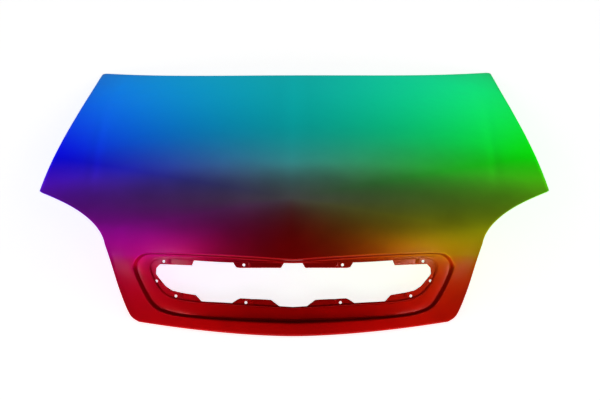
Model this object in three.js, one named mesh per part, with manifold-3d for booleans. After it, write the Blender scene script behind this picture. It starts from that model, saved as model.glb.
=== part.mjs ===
// Car bonnet of a small people carrier, lying outer face up on its rear corners and its front lip.
// Lengths are millimetres: X runs across, +Y to the rear, +Z up.
//
// Every pressed piece is first laid out flat, by three numbers: x across, s along the centre profile
// from the rear edge to the front lip, and h above the outer face. bend() then carries it onto the
// crowned and folded shape, so pieces that fit each other flat also fit each other bent.
import * as THREE from 'three';
import { mergeVertices } from 'three/addons/utils/BufferGeometryUtils.js';
import Module from 'manifold-3d';

const wasm = await Module();
wasm.setup();

// Driving dimensions of the outline
const earHalf = 750;
const earAlong = 599;
const rearHalf = 697;
const rearSweep = 200;
const noseHalf = 535;
const noseAlong = 838;
const lipHalf = 432;
const lipCornerAlong = 1060;
const lipAlong = 1097;
const cornerStrip = 25;

// Driving dimensions of the section: slopes in degrees, radii of the crown across
const rearSlope = -15.9;
const topTurn = 8;
const foldAlong = 540;
const foldLength = 330;
const foldTurn = 46.3;
const noseTurn = 6;
const noseTurnLength = 300;
const topCrownRadius = 4000;
const noseCrownRadius = 2630;
const crownBlendStart = 420;
const crownBlendEnd = 860;

// Driving dimensions of the sheets, the hem and the grille recess
const skinThickness = 0.8;
const panelThickness = 0.7;
const seatGap = 0.4;
const hemWidth = 9;
const recessDepth = 26;
const recessFlange = 3;
const recessSeatGap = 1;

// Driving dimensions of the inner panel
const frameInset = 52;
const frameHalfFloor = 16;
const frameHalfTop = 26;
const channelDepth = 24;
const landDepth = 4;
const landWidth = 13;
const ribHalfFloor = 13;
const ribHalfTop = 22;
const ribRearAcross = 560;
const ribFrontAcross = 150;
const crossAlong = 330;
const basinRear = 772;
const basinInset = 14;
const basinDraft = 8;
const basinLipDraft = 20;
const basinSideInset = 26;
const drainWidth = 18;
const drainLength = 44;
const ribDrainLength = 40;
const rearDrainAcross = 250;
const sideDrainsAlong = [200, 420];
const ribDrainShares = [0.25, 0.72];

// Driving dimensions of the fittings
const seatDrop = 2;
const hingeSeatAlong = -10;
const hingeSeatLength = 90;
const hingeSeatWidth = 26;
const hingeBoltPitch = 56;
const latchSeatAlong = basinRear + 54;
const latchSeatLength = 40;
const latchSeatWidth = 66;
const latchBoltPitch = 44;
const boltHole = 8.5;
const nutAcross = 16;
const nutHeight = 6.5;
const nutBore = 6.8;
const hingePlateThickness = 2;
const latchPlateThickness = 1.5;
const plateSideGap = 4;
const plateMargin = 13;
const latchPlateWing = 45;
const plateGap = 0.35;
const masticGap = 0.3;
const masticSkinGap = 0.7;
const masticLength = 42;
const masticWidth = 15;
const clipHole = 8;

// Fineness of the facets
const columns = 11;
const rowPitch = 62;
const foldRowPitch = 22;
const noseSideSteps = 8;
const lipSteps = 8;
const panelSag = 0.7;
const plateSag = 0.1;

// The curved surface that carries everything

const toRadians = Math.PI / 180;
const clamp = (value, low, high) => Math.min(Math.max(value, low), high);
const mix = (a, b, t) => a + (b - a) * t;

function smooth(t) {
  const c = clamp(t, 0, 1);
  return c * c * (3 - 2 * c);
}

function slopeAt(s) {
  const fold = foldTurn * smooth((s - foldAlong) / foldLength);
  const nose = noseTurn * Math.max(0, (s - foldAlong - foldLength) / noseTurnLength);
  return (rearSlope + topTurn * clamp(s / foldAlong, -1, 1) + fold + nose) * toRadians;
}

const profile = [[0, 0]];
for (let s = 0; s < lipAlong + 60; s += 1) {
  const [y, z] = profile[s];
  profile.push([y - Math.cos(slopeAt(s + 0.5)), z - Math.sin(slopeAt(s + 0.5))]);
}

function profileAt(s) {
  const slope = slopeAt(s);
  if (s < 0) return [-s * Math.cos(slope), -s * Math.sin(slope)];
  const start = Math.min(Math.floor(s), profile.length - 2);
  const [y0, z0] = profile[start];
  const [y1, z1] = profile[start + 1];
  return [mix(y0, y1, s - start), mix(z0, z1, s - start)];
}

function place(x, s, h) {
  const [y, z] = profileAt(s);
  const slope = slopeAt(s);
  const blend = smooth((s - crownBlendStart) / (crownBlendEnd - crownBlendStart));
  const drop = (x * x) / 2 * mix(1 / topCrownRadius, 1 / noseCrownRadius, blend);
  return new THREE.Vector3(x, y - Math.sin(slope) * (h - drop), z + Math.cos(slope) * (h - drop));
}

// Local frame of the surface, X across and Z outwards, for pieces that stay flat
function frameAt(x, s, h) {
  const origin = place(x, s, h);
  const across = place(x + 1, s, h).sub(place(x - 1, s, h)).normalize();
  const forward = place(x, s + 1, h).sub(place(x, s - 1, h)).normalize();
  const out = new THREE.Vector3().crossVectors(forward, across).normalize();
  const rearward = new THREE.Vector3().crossVectors(out, across);
  return new THREE.Matrix4().makeBasis(across, rearward, out).setPosition(origin);
}

// Flat meshes: lists of [x, s, h] points and of triangles, facing out as seen with x, s, h right-handed

function flatFromSolid(solid) {
  const mesh = solid.getMesh();
  const points = [];
  for (let i = 0; i < mesh.vertProperties.length; i += 3) {
    points.push([...mesh.vertProperties.slice(i, i + 3)]);
  }
  const triangles = [];
  for (let i = 0; i < mesh.triVerts.length; i += 3) triangles.push([...mesh.triVerts.slice(i, i + 3)]);
  return { points, triangles };
}

function solidFromGeometry(source) {
  const geometry = source.clone();
  geometry.deleteAttribute('normal');
  geometry.deleteAttribute('uv');
  const merged = mergeVertices(geometry, 1e-4);
  const vertProperties = new Float32Array(merged.attributes.position.array);
  const triVerts = new Uint32Array(merged.index.array);
  return new wasm.Manifold(new wasm.Mesh({ numProp: 3, vertProperties, triVerts }));
}

function solidFromTriangles(coordinates) {
  const geometry = new THREE.BufferGeometry();
  geometry.setAttribute('position', new THREE.Float32BufferAttribute(coordinates, 3));
  return solidFromGeometry(geometry);
}

const joined = (solids) => solids.reduce((all, solid) => all.add(solid));

// Turns the shared edge of two triangles of one flat face wherever that makes them less thin
function evenOut({ points, triangles }) {
  const parts = triangles.map((triangle) => [...triangle]);
  const vector = (a, b) => points[b].map((value, axis) => value - points[a][axis]);
  const dot = (u, v) => u[0] * v[0] + u[1] * v[1] + u[2] * v[2];
  const cross = (u, v) => [u[1] * v[2] - u[2] * v[1], u[2] * v[0] - u[0] * v[2], u[0] * v[1] - u[1] * v[0]];
  const normal = (a, b, c) => cross(vector(a, b), vector(a, c));
  const cotangent = (corner, a, b) => {
    const [u, v] = [vector(corner, a), vector(corner, b)];
    return dot(u, v) / Math.max(Math.hypot(...cross(u, v)), 1e-9);
  };
  const rest = (triangle, a, b) => triangle.find((c) => c !== a && c !== b);
  for (let pass = 0; pass < 40; pass += 1) {
    const owners = new Map();
    parts.forEach((triangle, index) => {
      for (let i = 0; i < 3; i += 1) owners.set(`${triangle[i]} ${triangle[(i + 1) % 3]}`, index);
    });
    const touched = new Set();
    for (const [name, first] of owners) {
      const [a, b] = name.split(' ').map(Number);
      const second = owners.get(`${b} ${a}`);
      if (a > b || touched.has(first) || touched.has(second)) continue;
      const c = rest(parts[first], a, b);
      const d = rest(parts[second], a, b);
      if (owners.has(`${c} ${d}`) || owners.has(`${d} ${c}`)) continue;
      const [m, n] = [normal(a, b, c), normal(b, a, d)];
      const sizes = Math.hypot(...m) * Math.hypot(...n);
      if (dot(m, n) < sizes * 0.9999999) continue;
      if (cotangent(c, a, b) + cotangent(d, a, b) > -1e-6) continue;
      const [p, q] = [normal(c, a, d), normal(d, b, c)];
      if (dot(p, m) <= 0 || dot(q, m) <= 0) continue;
      parts[first] = [c, a, d];
      parts[second] = [d, b, c];
      touched.add(first).add(second);
    }
    if (touched.size === 0) break;
  }
  return { points, triangles: parts };
}

// Halves each edge that would cut a corner of the bent surface by more than the sag allowed
function refine(flat, sag) {
  let { points, triangles } = evenOut(flat);
  const sagOf = (a, b) => {
    const [from, to] = [place(...points[a]), place(...points[b])];
    const middle = points[a].map((value, axis) => (value + points[b][axis]) / 2);
    return place(...middle).distanceTo(from.lerp(to, 0.5));
  };
  for (let pass = 0; pass < 6; pass += 1) {
    const middles = new Map();
    for (const triangle of triangles) {
      for (let i = 0; i < 3; i += 1) {
        const [a, b] = [triangle[i], triangle[(i + 1) % 3]];
        if (a > b || sagOf(a, b) <= sag) continue;
        middles.set(`${a} ${b}`, points.length);
        points.push(points[a].map((value, axis) => (value + points[b][axis]) / 2));
      }
    }
    if (middles.size === 0) break;
    const middle = (a, b) => middles.get(a < b ? `${a} ${b}` : `${b} ${a}`);
    triangles = triangles.flatMap((triangle) => splitTriangle(...triangle, middle));
    ({ points, triangles } = evenOut({ points, triangles }));
  }
  return { points, triangles };
}

function splitTriangle(a, b, c, middle) {
  const [ab, bc, ca] = [middle(a, b), middle(b, c), middle(c, a)];
  if (ab === undefined && bc === undefined && ca === undefined) return [[a, b, c]];
  if (ab === undefined) return splitTriangle(b, c, a, middle);
  if (bc === undefined && ca === undefined) return [[a, ab, c], [ab, b, c]];
  if (ca === undefined) return [[a, ab, c], [ab, bc, c], [ab, b, bc]];
  if (bc === undefined) return [[a, ab, ca], [ab, b, ca], [b, c, ca]];
  return [[a, ab, ca], [ab, b, bc], [ca, bc, c], [ab, bc, ca]];
}

// Carries a flat mesh onto the surface. Faces of a seat are set back into one true plane.
function bend(flat, sag, seats = []) {
  const { points, triangles } = sag ? refine(flat, sag) : flat;
  const positions = points.flatMap(([x, s, h]) => {
    const point = place(x, s, h);
    for (const seat of seats) {
      const near = Math.hypot(x - seat.x, s - seat.s) < seat.reach;
      const level = seat.levels.find((value) => Math.abs(value - h) < 0.01);
      if (!near || level === undefined) continue;
      const frame = frameAt(seat.x, seat.s, seat.levels[0]);
      const local = point.clone().applyMatrix4(frame.clone().invert());
      local.z = level - seat.levels[0];
      point.copy(local.applyMatrix4(frame));
    }
    return point.toArray();
  });
  const geometry = new THREE.BufferGeometry();
  geometry.setAttribute('position', new THREE.Float32BufferAttribute(positions, 3));
  geometry.setIndex(triangles.flatMap(([a, b, c]) => [a, c, b]));
  geometry.computeVertexNormals();
  return geometry;
}

// Plan shapes: lists of [x, s] points

const mirrored = (half) => half.map(([x, s]) => [-x, s]).reverse();

// A closed loop from its right half, which starts and ends on the centre line
const wholeLoop = (half) => [...half, ...mirrored(half.slice(1, -1))];

// Moves each point of an open line sideways, to the right of its direction for a positive distance
function sideways(line, distance, before, after) {
  return line.map(([x, s], index) => {
    const [px, ps] = line[index - 1] ?? before ?? [2 * x - line[1][0], 2 * s - line[1][1]];
    const last = line[line.length - 2];
    const [nx, ns] = line[index + 1] ?? after ?? [2 * x - last[0], 2 * s - last[1]];
    const into = new THREE.Vector2(x - px, s - ps).normalize();
    const out = new THREE.Vector2(nx - x, ns - s).normalize();
    const along = into.clone().add(out).normalize();
    const reach = distance / Math.max(along.dot(into), 0.35);
    return [x - along.y * reach, s + along.x * reach];
  });
}

// The loop round a strip of even width along a line
function stripLoop(line, half) {
  return [...sideways(line, -half), ...sideways(line, half).reverse()];
}

const toVectors = (loop) => loop.map(([x, s]) => new THREE.Vector2(x, s));

// A solid with a floor loop and a top loop of as many points
function frustum(floorLoop, topLoop, low, high) {
  const turned = THREE.ShapeUtils.area(toVectors(floorLoop)) < 0;
  const floor = turned ? [...floorLoop].reverse() : floorLoop;
  const top = turned ? [...topLoop].reverse() : topLoop;
  const corners = [];
  for (let i = 0; i < floor.length; i += 1) {
    const next = (i + 1) % floor.length;
    const [a, b] = [[...floor[i], low], [...floor[next], low]];
    const [c, d] = [[...top[next], high], [...top[i], high]];
    corners.push(...a, ...b, ...c, ...a, ...c, ...d);
  }
  for (const [i, j, k] of THREE.ShapeUtils.triangulateShape(toVectors(floor), [])) {
    corners.push(...floor[k], low, ...floor[j], low, ...floor[i], low);
  }
  for (const [i, j, k] of THREE.ShapeUtils.triangulateShape(toVectors(top), [])) {
    corners.push(...top[i], high, ...top[j], high, ...top[k], high);
  }
  return solidFromTriangles(corners);
}

function slab(outer, holes, low, high) {
  const shape = new THREE.Shape(toVectors(outer));
  shape.holes = holes.map((hole) => new THREE.Path(toVectors(hole)));
  const geometry = new THREE.ExtrudeGeometry(shape, { depth: high - low, bevelEnabled: false });
  return solidFromGeometry(geometry.translate(0, 0, low));
}

// A rounded loop of a given length and width, turned by an angle in the plan
function roundedLoop(x, s, length, width, angle = 0, steps = 12) {
  const straight = (length - width) / 2;
  const loop = [];
  for (let i = 0; i < steps; i += 1) {
    const turn = (2 * Math.PI * (i + 0.5)) / steps;
    const u = (width / 2) * Math.cos(turn) + Math.sign(Math.cos(turn)) * straight;
    const v = (width / 2) * Math.sin(turn);
    loop.push([
      x + u * Math.cos(angle) - v * Math.sin(angle),
      s + u * Math.sin(angle) + v * Math.cos(angle),
    ]);
  }
  return loop;
}

const boxLoop = (x, s, width, length) => [
  [x - width / 2, s - length / 2],
  [x + width / 2, s - length / 2],
  [x + width / 2, s + length / 2],
  [x - width / 2, s + length / 2],
];

// Outline of the bonnet, right half, from the middle of the rear edge to the middle of the lip

const rearEdge = (x) => -rearSweep * (0.63 * (x / rearHalf) ** 2 + 0.37 * (x / rearHalf) ** 4);

// Points of a curve given as shares of the way across and along between its two ends
function curveBetween(start, end, shares) {
  const points = shares.map(([across, along]) => new THREE.Vector2(
    mix(start[0], end[0], across),
    mix(start[1], end[1], along),
  ));
  return new THREE.SplineCurve(points);
}

const sideCurve = curveBetween(
  [rearHalf, -rearSweep],
  [earHalf, earAlong],
  [[0, 0], [0.06, 0.21], [0.32, 0.45], [0.58, 0.65], [0.78, 0.82], [1, 1]],
);
const earCurve = new THREE.CubicBezierCurve(
  new THREE.Vector2(earHalf, earAlong),
  new THREE.Vector2(mix(earHalf, noseHalf, 0.51), mix(earAlong, noseAlong, 0.38)),
  new THREE.Vector2(mix(earHalf, noseHalf, 0.94), mix(earAlong, noseAlong, 0.71)),
  new THREE.Vector2(noseHalf, noseAlong),
);
const noseCurve = curveBetween(
  [noseHalf, noseAlong],
  [lipHalf, lipCornerAlong],
  [[0, 0], [0.18, 0.23], [0.47, 0.62], [0.75, 0.91], [1, 1]],
);
const lipEdge = (x) => mix(lipAlong, lipCornerAlong, (Math.abs(x) / lipHalf) ** 1.7);

// Where a curve that runs forward comes to a given s
function acrossAt(curve, s) {
  let [low, high] = [0, 1];
  for (let i = 0; i < 30; i += 1) {
    const t = (low + high) / 2;
    if (curve.getPoint(t).y < s) low = t;
    else high = t;
  }
  return curve.getPoint(low).x;
}

function outlineHalf(s) {
  if (s <= earAlong) return acrossAt(sideCurve, s);
  if (s <= noseAlong) return acrossAt(earCurve, s);
  return acrossAt(noseCurve, s);
}

// Rows across the top, by their s at the side: even steps to the ears, then finer ones over the fold
const steps = (from, to, pitch) => {
  const count = Math.max(1, Math.round((to - from) / pitch));
  return Array.from({ length: count }, (_, i) => mix(from, to, (i + 1) / count));
};
const rows = [
  -rearSweep,
  -rearSweep + cornerStrip,
  ...steps(-rearSweep + cornerStrip, earAlong - 2 * foldRowPitch, rowPitch),
  ...steps(earAlong - 2 * foldRowPitch, earAlong, foldRowPitch),
  ...steps(earAlong, noseAlong, foldRowPitch),
];
const straightRow = 200;

const columnAcross = (i, half) => (i === columns ? half : ((half - cornerStrip) * i) / (columns - 1));

function rowAlong(x, sideAlong) {
  const share = Math.min(1, (sideAlong + rearSweep) / (straightRow + rearSweep));
  return share < 1 ? mix(rearEdge(x), straightRow, share) : sideAlong;
}

const rearStations = [];
for (let i = 0; i < columns; i += 1) {
  const x = columnAcross(i, rearHalf);
  rearStations.push([x, rearEdge(x)]);
}
const sideStations = rows.slice(1).map((s) => [outlineHalf(s), s]);
const cornerSharp = [rearHalf, -rearSweep];
const cornerMiddle = [0, 1].map((axis) => (rearStations[columns - 1][axis] + sideStations[0][axis]) / 2);
const cornerStation = [0, 1].map((axis) => mix(cornerSharp[axis], cornerMiddle[axis], 0.25));
const noseStations = [];
for (let i = 1; i <= noseSideSteps; i += 1) {
  noseStations.push(noseCurve.getPointAt(i / noseSideSteps).toArray());
}
const lipStations = [];
for (let i = 1; i <= lipSteps; i += 1) {
  const x = lipHalf * (1 - i / lipSteps);
  lipStations.push([x, lipEdge(x)]);
}
const outline = [...rearStations, cornerStation, ...sideStations, ...noseStations, ...lipStations];

// The same stations moved inwards by a distance
function outlineInset(distance, line = outline) {
  const [first, last] = [line[1], line[line.length - 2]];
  return sideways(line, distance, [-first[0], first[1]], [-last[0], last[1]]);
}

// Grille recess: the swage line round it and its foot, both from the top centre to the bottom centre

const recessHalf = 450;
const recessTop = 887;
const recessBottom = 1060;
const recessLoop = (shares) => curveBetween([0, recessTop], [recessHalf, recessBottom], shares);
const swageCurve = recessLoop([
  [0, 0], [0.33, -0.06], [0.66, -0.105], [0.9, -0.12], [0.965, -0.07], [0.997, 0.05], [0.994, 0.17],
  [0.955, 0.4], [0.885, 0.7], [0.81, 0.83], [0.66, 0.91], [0.33, 0.97], [0, 1],
]);
const recessEdgeCurve = recessLoop([
  [0, 0.045], [0.4, 0.02], [0.74, -0.04], [0.84, -0.05], [0.89, -0.005], [0.909, 0.08], [0.895, 0.225],
  [0.853, 0.43], [0.78, 0.6], [0.64, 0.69], [0.4, 0.73], [0, 0.785],
]);

// Stations of a recess curve that face the stations of the nose outline: the top row, side and lip
function recessStations(curve, cornerShare, lowerShare) {
  const shares = [];
  for (let i = 0; i <= columns; i += 1) shares.push((cornerShare * i) / columns);
  for (let i = 1; i <= noseSideSteps; i += 1) shares.push(mix(cornerShare, lowerShare, i / noseSideSteps));
  for (let i = 1; i <= lipSteps; i += 1) shares.push(mix(lowerShare, 1, i / lipSteps));
  return shares.map((share) => curve.getPointAt(share).toArray());
}

const swageStations = recessStations(swageCurve, 0.41, 0.62);
const recessEdgeStations = recessStations(recessEdgeCurve, 0.41, 0.64);

// Outer skin: crowned sheet, folded nose, recess and a hem all round

const hemFold = skinThickness;
const hemDepth = 2 * skinThickness + panelThickness + 2 * seatGap;
const hemProfile = [
  [hemFold, 0],
  [0, -hemFold],
  [0, -hemDepth + hemFold],
  [hemFold, -hemDepth],
  [hemWidth, -hemDepth],
  [hemWidth, -hemDepth + skinThickness],
  [hemFold, -hemDepth + skinThickness],
  [hemFold, -skinThickness],
];

// Offsets that give a folded section its even thickness, for points [distance inwards, h]
function sectionOffsets(section) {
  return section.map((point, index) => {
    const before = section[index - 1];
    const after = section[index + 1];
    const normals = [[before, point], [point, after]]
      .filter(([a, b]) => a && b)
      .map(([a, b]) => new THREE.Vector2(a[1] - b[1], b[0] - a[0]).normalize());
    const middle = normals.reduce((sum, n) => sum.add(n), new THREE.Vector2()).normalize();
    return middle.multiplyScalar(-skinThickness / middle.dot(normals[0]));
  });
}

function makeOuterSkin() {
  const corners = [];
  const flip = ([x, s, h]) => [-x, s, h];
  const quad = (a, b, c, d) => {
    corners.push(a, b, c, a, c, d);
    corners.push(...[c, b, a, d, c, a].map(flip));
  };
  const edge = outlineInset(hemFold);
  const lastRow = rows.length - 1;
  const patchPoint = (i, j) => {
    if (j === 0) return edge[i];
    if (i === columns) return edge[columns + j];
    const x = columnAcross(i, outlineHalf(rows[j]));
    return [x, rowAlong(x, rows[j])];
  };
  const sheet = (a, b, c, d) => {
    quad(...[a, b, c, d].map((p) => [...p, 0]));
    quad(...[d, c, b, a].map((p) => [...p, -skinThickness]));
  };
  for (let j = 0; j < lastRow; j += 1) {
    for (let i = 0; i < columns; i += 1) {
      sheet(patchPoint(i + 1, j), patchPoint(i + 1, j + 1), patchPoint(i, j + 1), patchPoint(i, j));
    }
  }
  const rings = hemProfile.map(([inset, h]) => outlineInset(inset).map((p) => [...p, h]));
  for (let k = 0; k < outline.length - 1; k += 1) {
    for (let r = 0; r < rings.length - 1; r += 1) {
      quad(rings[r + 1][k], rings[r + 1][k + 1], rings[r][k + 1], rings[r][k]);
    }
  }
  const sections = swageStations.map((swage, k) => {
    const outer = k < columns ? patchPoint(k, lastRow) : edge[lastRow + k];
    return recessSection(outer, swage, recessEdgeStations[k]);
  });
  for (let k = 0; k < sections.length - 1; k += 1) {
    const [here, next] = [sections[k], sections[k + 1]];
    for (let r = 0; r < here.length - 1; r += 1) {
      quad(here[r].top, next[r].top, next[r + 1].top, here[r + 1].top);
      quad(here[r + 1].under, next[r + 1].under, next[r].under, here[r].under);
    }
    const end = here.length - 1;
    quad(here[end].top, next[end].top, next[end].under, here[end].under);
  }
  const geometry = new THREE.BufferGeometry();
  geometry.setAttribute('position', new THREE.Float32BufferAttribute(corners.flat(), 3));
  const merged = mergeVertices(geometry, 1e-4);
  const flat = { points: [], triangles: [] };
  const position = merged.attributes.position;
  for (let i = 0; i < position.count; i += 1) {
    flat.points.push([position.getX(i), position.getY(i), position.getZ(i)]);
  }
  const index = merged.index.array;
  for (let i = 0; i < index.length; i += 3) flat.triangles.push([...index.slice(i, i + 3)]);
  return bend(flat);
}

// One station of the nose, from the outline or the last row inwards to the free edge of the recess
function recessSection(outer, swage, edge) {
  const inward = new THREE.Vector2(edge[0] - swage[0], edge[1] - swage[1]);
  const width = inward.length();
  inward.normalize();
  const foot = Math.max(width - recessFlange, 2);
  const halfway = [mix(outer[0], swage[0], 0.5), mix(outer[1], swage[1], 0.5)];
  const at = (distance) => [swage[0] + inward.x * distance, swage[1] + inward.y * distance];
  const plan = [outer, halfway, swage, at(0.18 * foot), at(foot), at(foot + recessFlange)];
  const heights = [0, 0, 0, -0.16 * recessDepth, -recessDepth, -recessDepth];
  const distances = [-2, -1, 0, 0.18 * foot, foot, foot + recessFlange];
  const offsets = sectionOffsets(distances.map((distance, i) => [distance, heights[i]]));
  return plan.map((p, i) => {
    const shift = offsets[i];
    return {
      top: [...p, heights[i]],
      under: [p[0] + inward.x * shift.x, p[1] + inward.y * shift.x, heights[i] + shift.y],
    };
  });
}

// Inner panel: one pressing with a rim in the hem, channels all round, ribs and a basin in the nose

const rimHigh = -skinThickness - seatGap;
const rimLow = rimHigh - panelThickness;
const landLow = -landDepth - panelThickness;
const basinHigh = -recessDepth - skinThickness - recessSeatGap;
// Width of the sheet in the plan where it runs down a wall
const wallExtra = 1.1 * panelThickness;

// Stations that the channel follows: those too near the two sharp corners to be inset are left out
const clearOf = (corner, reach) => ([x, s]) => Math.hypot(x - corner[0], s - corner[1]) > reach;
const earTip = [earHalf, earAlong];
const frameStations = [
  ...rearStations.filter(clearOf(cornerSharp, 2.6 * frameInset)),
  cornerSharp,
  ...sideStations.filter(clearOf(cornerSharp, 2.6 * frameInset))
    .filter((p) => p[1] === earAlong || clearOf(earTip, 1.2 * frameInset)(p)),
];
const frameLine = outlineInset(frameInset, [...frameStations, ...noseStations])
  .slice(0, frameStations.length);
const noseHalfOutline = [...sideStations.slice(-2), ...noseStations, ...lipStations];
const noseLine = outlineInset(basinInset + basinDraft, noseHalfOutline);
const beforeBasin = ([, s]) => s < basinRear + 2 * basinDraft;
const coreHalf = [...frameLine.filter(beforeBasin), ...noseLine.slice(1)];
const coreLoop = wholeLoop(coreHalf);
const frameWhole = [...mirrored(frameLine), ...frameLine.slice(1)];

// The wall of the basin leans more along the lip, which stays the lowest part of the nose
function basinLoop(extra) {
  const sideLine = outlineInset(basinInset + extra, noseHalfOutline);
  const lipLine = outlineInset(basinInset + (extra * basinLipDraft) / basinDraft, noseHalfOutline);
  const lipStart = sideLine.length - lipStations.length - 1;
  const line = sideLine.map((point, i) => (i < lipStart ? point : lipLine[i]));
  const rear = basinRear + extra;
  return wholeLoop([[0, rear], [outlineHalf(basinRear) - basinSideInset - extra, rear], ...line.slice(1)]);
}

// Ribs: two long diagonals from the hinges to the nose, and a cross rib between them
const ribRear = [ribRearAcross, rearEdge(ribRearAcross) + frameInset];
const ribFront = [ribFrontAcross, basinRear + ribHalfTop];
const crossShare = (crossAlong - ribRear[1]) / (ribFront[1] - ribRear[1]);
const crossHalf = mix(ribRear[0], ribFront[0], crossShare);
const ribLines = [
  [ribRear, ribFront],
  mirrored([ribRear, ribFront]),
  [[-crossHalf, crossAlong], [crossHalf, crossAlong]],
];

// Plan of the grille aperture in the basin floor, with its clip tabs, right half
const apertureHalf = [
  [0, 893], [25, 893], [34, 908], [149, 908], [160, 906], [170, 889], [279, 885], [285, 900], [377, 896],
  [387, 907], [388, 924], [376, 939], [359, 959], [341, 971], [316, 977], [273, 984], [253, 1006],
  [179, 1012], [157, 997], [148, 993], [62, 997], [34, 1018], [0, 1021],
];
const clipHoles = [[138, 899], [366, 888], [386, 944], [330, 987], [132, 1005]];

const hingeSeatAcross = outlineHalf(hingeSeatAlong) - frameInset;
const seats = [];
for (const side of [-1, 1]) {
  const high = -channelDepth - seatDrop;
  seats.push({
    x: side * hingeSeatAcross,
    s: hingeSeatAlong,
    width: hingeSeatWidth,
    length: hingeSeatLength,
    reach: hingeSeatLength,
    floor: -channelDepth,
    levels: [high - panelThickness, high],
    bolts: [-0.5, 0.5].map((share) => [side * hingeSeatAcross, hingeSeatAlong + share * hingeBoltPitch]),
  });
}
seats.push({
  x: 0,
  s: latchSeatAlong,
  width: latchSeatWidth,
  length: latchSeatLength,
  reach: latchSeatWidth,
  floor: basinHigh,
  levels: [basinHigh - seatDrop - panelThickness, basinHigh - seatDrop],
  bolts: [-0.5, 0.5].map((share) => [share * latchBoltPitch, latchSeatAlong]),
});

function makeInnerPanel() {
  const shell = [];
  const voids = [];
  const channel = (line, halfFloor, halfTop) => {
    const loops = (extra) => [stripLoop(line, halfFloor + extra), stripLoop(line, halfTop + extra)];
    shell.push(frustum(...loops(wallExtra), -channelDepth - panelThickness, rimHigh));
    voids.push(frustum(...loops(0), -channelDepth, rimHigh + 0.01));
  };
  channel(frameWhole, frameHalfFloor, frameHalfTop);
  for (const line of ribLines) channel(line, ribHalfFloor, ribHalfTop);
  shell.push(frustum(
    basinLoop(basinDraft - wallExtra),
    basinLoop(-wallExtra),
    basinHigh - panelThickness,
    rimHigh,
  ));
  voids.push(frustum(basinLoop(basinDraft), basinLoop(0), basinHigh, rimHigh + 0.01));
  for (const { x, s, width, length, floor, levels } of seats) {
    const [low, high] = levels;
    const wide = 2 * seatDrop;
    shell.push(frustum(
      boxLoop(x, s, width, length),
      boxLoop(x, s, width + wide, length + wide),
      low,
      floor - panelThickness / 2,
    ));
    const inner = [width - 2 * wallExtra, length - 2 * wallExtra];
    voids.push(frustum(
      boxLoop(x, s, ...inner),
      boxLoop(x, s, inner[0] + wide, inner[1] + wide),
      high,
      floor + 0.01,
    ));
  }
  const rim = slab(wholeLoop(outlineInset(hemFold + seatGap)), [coreLoop], rimLow, rimHigh);
  const core = slab(coreLoop, [], landLow, -landDepth);
  const lands = [
    slab(stripLoop(frameWhole, frameHalfTop + landWidth), [], landLow, -landDepth),
    ...ribLines.map((line) => slab(stripLoop(line, ribHalfTop + landWidth), [], landLow, -landDepth)),
    slab(basinLoop(-landWidth), [], landLow, -landDepth),
  ];
  const body = joined([rim, ...shell])
    .subtract(slab(coreLoop, [], -landDepth, 1))
    .add(joined(lands).intersect(core));
  const cuts = [...voids, ...panelHoles()];
  // Where walls cross, the cuts can leave a loose hair of sheet beside the panel itself
  const [panel] = body.subtract(joined(cuts)).decompose().sort((a, b) => b.volume() - a.volume());
  return bend(flatFromSolid(panel), panelSag, seats);
}

// Aperture, clip holes, bolt holes and the round holes that drain and lighten the channels
function panelHoles() {
  const low = basinHigh - 4;
  const holes = [slab(wholeLoop(apertureHalf), [], low, basinHigh + 0.5)];
  for (const side of [-1, 1]) {
    for (const [x, s] of clipHoles) {
      holes.push(slab(roundedLoop(side * x, s, clipHole, clipHole), [], low, basinHigh + 0.5));
    }
    for (const [x, s, length, angle] of drainHoles) {
      const loop = roundedLoop(side * x, s, length, drainWidth, side * angle);
      holes.push(slab(loop, [], -channelDepth - 1.5, -channelDepth + 0.5));
    }
  }
  for (const { bolts, levels } of seats) {
    for (const [x, s] of bolts) {
      holes.push(slab(roundedLoop(x, s, boltHole, boltHole), [], levels[0] - 1, levels[1] + 0.5));
    }
  }
  return holes;
}

const alongRib = (share) => [0, 1].map((axis) => mix(ribRear[axis], ribFront[axis], share));
const ribAngle = Math.atan2(ribFront[1] - ribRear[1], ribFront[0] - ribRear[0]);
const drainHoles = [
  ...ribDrainShares.map((share) => [...alongRib(share), ribDrainLength, ribAngle]),
  ...sideDrainsAlong.map((s) => [outlineHalf(s) - frameInset, s, drainLength, Math.PI / 2]),
  [rearDrainAcross, rearEdge(rearDrainAcross) + frameInset, drainLength, 0],
  [crossHalf * 0.45, crossAlong, drainLength, 0],
];

// Reinforcements lie on the floors over the seats, with a weld nut over each bolt hole

function makePlate(seat, width, length, thickness) {
  const low = seat.floor + plateGap;
  const holes = seat.bolts.map(([x, s]) => roundedLoop(x, s, boltHole, boltHole));
  const plate = slab(boxLoop(seat.x, seat.s, width, length), holes, low, low + thickness);
  return bend(flatFromSolid(plate), plateSag);
}

function makeNut() {
  const outer = new THREE.Shape();
  for (let i = 0; i < 6; i += 1) {
    const turn = (i * Math.PI) / 3;
    const radius = nutAcross / 2 / Math.cos(Math.PI / 6);
    outer[i === 0 ? 'moveTo' : 'lineTo'](radius * Math.cos(turn), radius * Math.sin(turn));
  }
  const bore = new THREE.Path().absarc(0, 0, nutBore / 2, 0, 2 * Math.PI, true);
  outer.holes.push(bore);
  return new THREE.ExtrudeGeometry(outer, { depth: nutHeight, bevelEnabled: false, curveSegments: 8 });
}

// Mastic pads stop the skin from drumming: they fill the gap between it and the lands of the panel
const masticPlaces = [];
for (const share of [0.12, 0.4, 0.6, 0.88]) {
  const [x, s] = alongRib(share);
  const off = ribHalfTop + landWidth / 2 + 1;
  masticPlaces.push([x - off * Math.sin(ribAngle), s + off * Math.cos(ribAngle), ribAngle]);
}
masticPlaces.push([crossHalf * 0.5, crossAlong + ribHalfTop + landWidth / 2 + 1, 0]);
masticPlaces.push([300, basinRear - landWidth / 2 - 1, 0]);

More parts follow.
